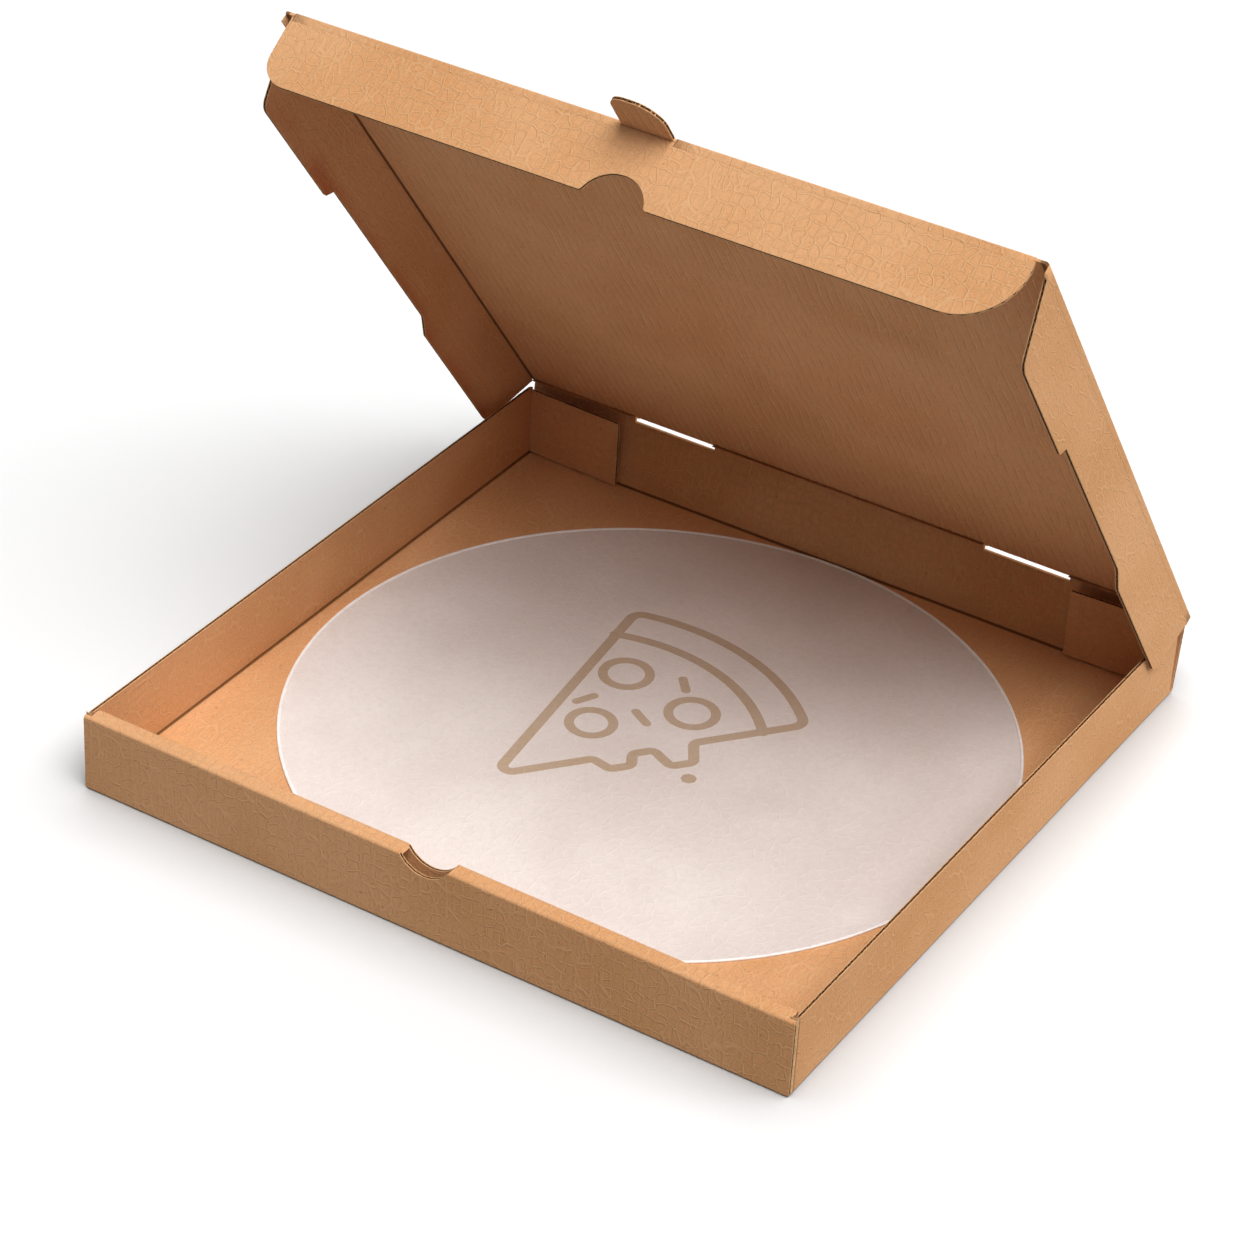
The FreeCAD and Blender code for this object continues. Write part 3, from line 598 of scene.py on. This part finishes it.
for side, sign in (("left", -1), ("right", 1)):
    fold = Vector(joints[f"rear_{side}_fold"]["pos_m"])
    stand = Matrix.Rotation(sign * math.radians(FLAP_STAND), 4, "Z")
    flap = Matrix.Translation((fold.x, fold.y, 0)) @ stand
    face = flap @ axes((0, SEAM + SKIN, 0), (-sign, 0, 0), (0, 0, 1))
    top, foot = WALL_HEIGHT - FLAP_GAP, BOARD + FLAP_GAP
    rim = [(2.0, top), (FLAP_LENGTH, top), (FLAP_LENGTH, foot), (2.0, foot)]
    cut_edge(f"rear_{side}_flap_cut_edge", f"rear_{side}_flap", [(face, [rim], True)])


# ---- folds: the outer liner runs round each crease in one piece ----
def fold_skin(name, place, profile, spans, bodies):
    """Closed strip along a crease; profile is (outside, inside) points round the crease, in mm."""
    shape = bmesh.new()
    ring = [*profile[0], *reversed(profile[1])]
    for low, high in spans:
        count = max(2, round((high - low) / 12.0))
        rows = []
        for step in range(count + 1):
            at = low + (high - low) * step / count
            rows.append([shape.verts.new(place @ (Vector((at, p, q)) * MM)) for p, q in ring])
        ring_faces(shape, rows)
    piece = finished(name, shape, kraft[bodies[1]], smooth=True)
    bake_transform(piece)


def crease_profile(bend, tail=5.0, bulge=0.14, thick=0.3):
    """Outside and inside of the liner round a crease of radius one, bent by so many degrees."""
    outer, inner = [], []
    turn = math.radians(bend)
    # each tail sinks into the board at its end and rises towards the bend
    rise = ((1.0, -0.06), (0.55, 0.04), (0.2, 0.11))
    for share, lift in rise:
        outer.append((-tail * share, SKIN + lift))
        inner.append((-tail * share, SKIN - thick))
    for step in range(9):
        a = turn * step / 8
        out, into = SKIN + bulge, SKIN - thick
        outer.append((out * math.sin(a), out * math.cos(a)))
        inner.append((into * math.sin(a), into * math.cos(a)))
    ahead = Vector((math.cos(turn), -math.sin(turn)))
    away = Vector((math.sin(turn), math.cos(turn)))
    for share, lift in reversed(rise):
        outer.append(tuple(ahead * tail * share + away * (SKIN + lift)))
        inner.append(tuple(ahead * tail * share + away * (SKIN - thick)))
    return outer, inner


def crease_place(centre, along, out):
    """Matrix of a crease: X along it, Y towards the second panel, Z out of the first."""
    along, out = Vector(along), Vector(out)
    ahead = out.cross(along)
    return Matrix.Translation(Vector(centre) * MM) @ Matrix((along, ahead, out)).transposed().to_4x4()


side_span = [(2.0, LID_REACH - 1.5)]
right_place = LID @ crease_place((LID_HALF, 0, 0), (0, -1, 0), (0, 0, 1))
left_place = LID @ crease_place((-LID_HALF, 0, 0), (0, 1, 0), (0, 0, 1))
fold_skin("right_flap_crease", right_place, crease_profile(90.0), side_span,
          ("lid", "lid_right_flap"))
fold_skin("left_flap_crease", left_place, crease_profile(90.0 - math.degrees(splay)),
          [(-side_span[0][1], -side_span[0][0])], ("lid", "lid_left_flap"))

front_place = LID @ crease_place((0, -LID_REACH, 0), (-1, 0, 0), (0, 0, 1))
front_spans = [(-FRONT_FLAP_HALF + 1.0, -TAB_WIDTH / 2 - 1.2), (TAB_WIDTH / 2 + 1.2, FRONT_FLAP_HALF - 1.0)]
fold_skin("front_flap_crease", front_place, crease_profile(90.0), front_spans,
          ("lid", "lid_front_flap"))

back_place = LID @ crease_place((0, 0, 0), (-1, 0, 0), (0, 0, 1))
near_slit, far_slit = HINGE_SLITS
back_spans = [(-TRAY_HALF_WIDTH, -far_slit), (-near_slit, near_slit), (far_slit, TRAY_HALF_WIDTH)]
fold_skin("lid_hinge_crease", back_place, crease_profile(90.0 - math.degrees(lid_angle) + BACK_LEAN),
          back_spans, ("lid", "tray"))


# ---- the liner's rolled rim and its printed slice ----
def liner_rim():
    """The liner's edge as a thin bead all the way round, coloured whiter than the liner as a painted
    highlight.
    """
    low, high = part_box("liner_disc")
    centre = Vector(((low[0] + high[0]) / 2, (low[1] + high[1]) / 2, 0))
    radius, level = LINER_RADIUS - 0.7, BOARD + 0.75
    half_width, half_height = 0.95, 0.72
    steps, corners = 240, 8
    shape = bmesh.new()
    rows = []
    for step in range(steps):
        turn = 2 * math.pi * step / steps
        away = Vector((math.cos(turn), math.sin(turn), 0))
        row = []
        for corner in range(corners):
            swing = 2 * math.pi * corner / corners
            up = Vector((0, 0, level + half_height * math.sin(swing)))
            row.append(shape.verts.new(centre + (away * (radius + half_width * math.cos(swing)) + up) * MM))
        rows.append(row)
    for i, row in enumerate(rows):
        following = rows[(i + 1) % steps]
        for j in range(corners):
            k = (j + 1) % corners
            shape.faces.new((row[j], row[k], following[k], following[j]))
    piece = finished("liner_rim", shape, bead, smooth=True)
    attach(piece, "tray")


liner_rim()


def stroke_body(name, points, closed, width, low, high):
    """One printed stroke as a closed slab; points in mm."""
    slab = bmesh.new()
    count = len(points)
    sides = ([], [])
    for i, point in enumerate(points):
        here = Vector(point)
        following = Vector(points[(i + 1) % count])
        if not closed and i == count - 1:
            following = here * 2 - Vector(points[i - 1])
        last = Vector(points[i - 1]) if closed or i else here * 2 - following
        before, after = (here - last).normalized(), (following - here).normalized()
        tangent = (before + after).normalized()
        out = Vector((tangent.y, -tangent.x)) * (width / 2) / max(0.5, tangent.dot(after))
        for side, sign in zip(sides, (1, -1)):
            side.append(slab.verts.new(Vector((*(here + out * sign), low)) * MM))
    for i in range(count if closed else count - 1):
        j = (i + 1) % count
        slab.faces.new((sides[0][i], sides[0][j], sides[1][j], sides[1][i]))
    if not closed:
        for end, neighbour in ((0, 1), (-1, -2)):
            centre = Vector(points[end])
            away = (centre - Vector(points[neighbour])).normalized()
            start = math.degrees(math.atan2(away.y, away.x))
            ring = arc(centre, width / 2, start - 90, start + 90, 10)[1:-1]
            tip = [slab.verts.new(Vector((*p, low)) * MM) for p in ring]
            pair = (sides[1][end], sides[0][end])
            first, last = sorted(pair, key=lambda point: (point.co - tip[0].co).length)
            slab.faces.new((first, *tip, last))
    bmesh.ops.recalc_face_normals(slab, faces=slab.faces)
    raised = bmesh.ops.extrude_face_region(slab, geom=slab.faces[:])
    top = [item for item in raised["geom"] if isinstance(item, bmesh.types.BMVert)]
    bmesh.ops.translate(slab, verts=top, vec=(0, 0, (high - low) * MM))
    bmesh.ops.recalc_face_normals(slab, faces=slab.faces)
    mesh = bpy.data.meshes.new(name)
    slab.to_mesh(mesh)
    slab.free()
    return new_piece(name, mesh)


def flat_print(name, strokes, sunk=0.02, proud=0.06):
    """Printed strokes joined into one thin film on the liner; each is (points, closed, width)."""
    base = BOARD + LINER_THICKNESS
    parts = [stroke_body(f"{name}_{i}", *stroke, base - sunk, base + proud)
             for i, stroke in enumerate(strokes)]
    piece = parts[0]
    for part in parts[1:]:
        union = piece.modifiers.new("join", "BOOLEAN")
        union.operation = "UNION"
        union.solver = "EXACT"
        union.object = part
    ready = piece.evaluated_get(bpy.context.evaluated_depsgraph_get())
    mesh = bpy.data.meshes.new_from_object(ready)
    for part in parts:
        bpy.data.objects.remove(part)
    mesh.materials.clear()
    mesh.materials.append(ink)
    piece = new_piece(name, mesh)
    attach(piece, "tray")


def turned(points, angle, centre):
    spin = Matrix.Rotation(math.radians(angle), 2)
    return [tuple(spin @ Vector(p) + Vector(centre)) for p in points]


def slice_print():
    """A plain pictogram of a slice: a wedge with a crust, three rounds, three dashes and a melting side.

    It is drawn in millimetres with its tip at the start, then turned and moved to its place on the liner.
    """
    stroke = 6.0
    crust = arc((0, 55), 127.0, 122.7, 57.3, 20)
    edge = Vector(crust[-1]).normalized()
    melted = [tuple(edge * along + Vector((edge.y, -edge.x)) * out) for along, out in
              ((112, 0), (106, 17), (93, 17), (89, 1), (77, 1), (73, 11), (61, 11), (55, 0))]
    corners = [(-34.4, 81.0), *crust, *melted, (0, 0)]
    radii = {i: 4.2 for i in range(len(crust) + 1, len(corners))}
    radii.update({1: 7.0, len(crust): 7.0, len(corners) - 1: 5.0})
    outline = rounded([*corners, corners[0]], radii)[:-1]
    strokes = [(outline, True, stroke), (arc((0, 55), 103.0, 125.5, 54.5, 20), False, stroke)]
    for centre, size in (((-27, 118), 13.0), ((23, 121), 13.0), ((-4, 72), 12.0)):
        strokes.append((arc(centre, size, 0, 345, 23), True, stroke * 0.9))
    for start, end in (((-4, 139), (5, 133)), ((3, 98), (15, 95)), ((-22, 90), (-24, 79))):
        strokes.append(([start, end], False, stroke * 0.85))
    strokes.append((arc((66, 79), 2.2, 0, 315, 7), True, 4.0))
    return [(turned(points, -16.0, (-45.0, -78.0)), closed, width) for points, closed, width in strokes]


flat_print("liner_slice_print", slice_print())


# ---- floor, light and camera ----
def studio():
    floor_mesh = bpy.data.meshes.new("table")
    reach, level = 12.0, -0.2 * MM
    floor_mesh.from_pydata([(-reach, -reach, level), (reach, -reach, level), (reach, reach, level),
                            (-reach, reach, level)], [], [(0, 1, 2, 3)])
    floor = new_piece("table", floor_mesh)
    material, tree = new_material("white_table")
    rays = add(tree, "ShaderNodeLightPath").outputs
    seen = number(tree, "MAXIMUM", rays["Is Camera Ray"],
                  number(tree, "MAXIMUM", rays["Is Glossy Ray"], rays["Is Transmission Ray"]))
    # white to the eye and grey to the board, so the underside of the lid keeps its depth of shade;
    # the part of the sky that each spot sees gives a narrow shadow where the box meets the table
    open_sky = add(tree, "ShaderNodeAmbientOcclusion", {"Distance": 0.045}, samples=2).outputs["AO"]
    white = tint(tree, open_sky, hex_linear("#7A7A7A"), hex_linear("#ECECEC"))
    shade = tint(tree, seen, hex_linear("#98989A"), white)
    matt = add(tree, "ShaderNodeBsdfDiffuse", {"Color": shade})
    glow = number(tree, "MULTIPLY", seen, 0.02)
    glow = add(tree, "ShaderNodeEmission", {"Color": (1, 1, 1, 1), "Strength": glow})
    both = add(tree, "ShaderNodeAddShader", {0: matt.outputs[0], 1: glow.outputs[0]})
    add(tree, "ShaderNodeOutputMaterial", {"Surface": both.outputs[0]})
    floor_mesh.materials.append(material)

    world = bpy.data.worlds.new("studio")
    world.use_nodes = True
    bpy.context.scene.world = world
    tree = world.node_tree
    tree.nodes.clear()
    rays = add(tree, "ShaderNodeLightPath").outputs
    seen = number(tree, "MAXIMUM", rays["Is Camera Ray"],
                  number(tree, "MAXIMUM", rays["Is Glossy Ray"], rays["Is Transmission Ray"]))
    strength = number(tree, "MULTIPLY_ADD", seen, 0.96, 0.04)
    sky = add(tree, "ShaderNodeBackground", {"Color": (1, 1, 1, 1), "Strength": strength})
    add(tree, "ShaderNodeOutputWorld", {"Surface": sky.outputs[0]})

    key = bpy.data.lights.new("overhead_diffuser", "SUN")
    key.energy, key.angle = 3.6, math.radians(54.0)
    rear = bpy.data.lights.new("rear_diffuser", "SUN")
    rear.energy, rear.angle = 0.4, math.radians(50.0)
    side = bpy.data.lights.new("right_softbox", "AREA")
    side.energy, side.size = 22.0, 1.3
    for lamp, spot in ((key, (0.72, -0.55, 2.2)), (rear, (-0.35, 0.9, 1.1)),
                       (side, (2.1, 1.25, 0.8))):
        holder = bpy.data.objects.new(lamp.name, lamp)
        bpy.context.scene.collection.objects.link(holder)
        holder.location = spot
        holder.rotation_mode = "QUATERNION"
        holder.rotation_quaternion = (Vector((0, 0, 0.1)) - Vector(spot)).to_track_quat("-Z", "Y")


def photograph_camera():
    """Camera at the photograph's angle; azimuth and elevation in degrees, distances in metres."""
    azimuth, elevation, roll = (math.radians(v) for v in (-30.49, 33.73, 3.33))
    distance, target = 2.13585, Vector((-0.02641, 0.00776, 0.06))
    focal, image = 4016.7, 1254.0
    centre = (615.7, 623.0)
    ahead = Vector((math.sin(azimuth) * math.cos(elevation), math.cos(azimuth) * math.cos(elevation),
                    -math.sin(elevation)))
    level = Vector((math.cos(azimuth), -math.sin(azimuth), 0))
    above = level.cross(ahead)
    right = math.cos(roll) * level + math.sin(roll) * above
    up = math.cos(roll) * above - math.sin(roll) * level
    data = bpy.data.cameras.new("camera")
    data.sensor_width = 36.0
    data.lens = focal / image * data.sensor_width
    data.shift_x = (image / 2 - centre[0]) / image
    data.shift_y = (centre[1] - image / 2) / image
    data.clip_end = 60.0
    camera = bpy.data.objects.new("camera", data)
    bpy.context.scene.collection.objects.link(camera)
    camera.matrix_world = Matrix.Translation(target - ahead * distance) @ Matrix(
        (right, up, -ahead)).transposed().to_4x4()
    bpy.context.scene.camera = camera


studio()
photograph_camera()
bpy.context.scene.view_settings.view_transform = "Standard"
